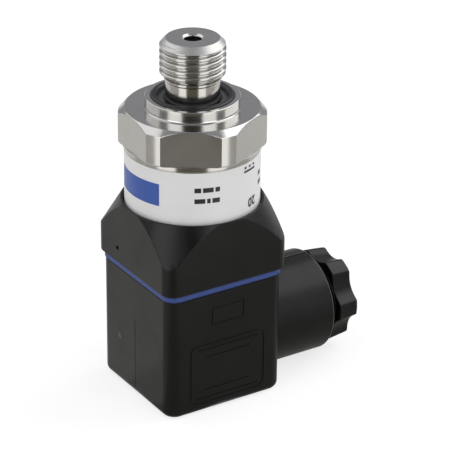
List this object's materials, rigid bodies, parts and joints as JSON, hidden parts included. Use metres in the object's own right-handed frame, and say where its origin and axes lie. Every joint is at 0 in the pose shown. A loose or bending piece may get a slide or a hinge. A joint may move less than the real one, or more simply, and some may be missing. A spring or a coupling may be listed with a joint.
{
  "type": "pressure sensor",
  "caption": "Screw-in pressure sensor: threaded stud with profile seal, hexagon, labelled round case, and an angular plug with a gasket and a side cable gland.",
  "frame": {"origin": "centre of the plug's end face, on the sensor's axis", "axes": "+Z along the sensor's axis towards the threaded stud, +X along the cable gland's axis, outwards"},
  "size_m": [0.0496, 0.0294, 0.0756],
  "materials": {
    "stainless": "turned and milled",
    "label_film": "satin printed film",
    "black_plastic": "moulded, fine satin",
    "blue_rubber": "smooth",
    "black_rubber": "smooth",
    "zinc_steel": "zinc plated",
    "tinned_brass": "tin plated",
    "brass": "turned",
    "board": "solder mask",
    "chip_black": "moulded",
    "ceramic": "fired",
    "bridge_film": "thin film",
    "gold_wire": "gold plated"
  },
  "bodies": {
    "sensor": {"process_connection": "stainless", "case_tube": "stainless", "measuring_cell": "stainless", "label": "label_film", "plug_housing": "black_plastic", "connector_base": "black_plastic", "contact_insert": "black_plastic", "profile_gasket": "blue_rubber", "profile_seal": "black_rubber", "cable_seal": "black_rubber", "o_ring": "black_rubber", "screw_seal": "black_rubber", "fixing_screw": "zinc_steel", "terminal_screws": "zinc_steel", "blade_1": "tinned_brass", "blade_2": "tinned_brass", "blade_3": "tinned_brass", "ground_blade": "tinned_brass", "socket_contact_1": "tinned_brass", "socket_contact_2": "tinned_brass", "socket_contact_3": "tinned_brass", "ground_contact": "tinned_brass", "threaded_insert": "brass", "circuit_board": "board", "signal_chip": "chip_black", "capacitors": "ceramic", "strain_bridge": "bridge_film", "bridge_wires": "gold_wire"},
    "washer": {"thrust_washer": "zinc_steel"},
    "nut": {"gland_nut": "black_plastic"}
  },
  "joints": [
    {"name": "washer_slide", "type": "slide", "parent": "sensor", "child": "washer", "axis": [1, 0, 0], "range_m": [-0.00201, 0.00376]},
    {"name": "nut_turn", "type": "hinge", "parent": "washer", "child": "nut", "pos_m": [0.03, 0, 0.0109], "axis": [1, 0, 0], "range_deg": [-480, 900]}
  ],
  "couplings": [
    {"joint": "washer_slide", "follows": "nut_turn", "m_per_rad": 0.00023873}
  ]
}
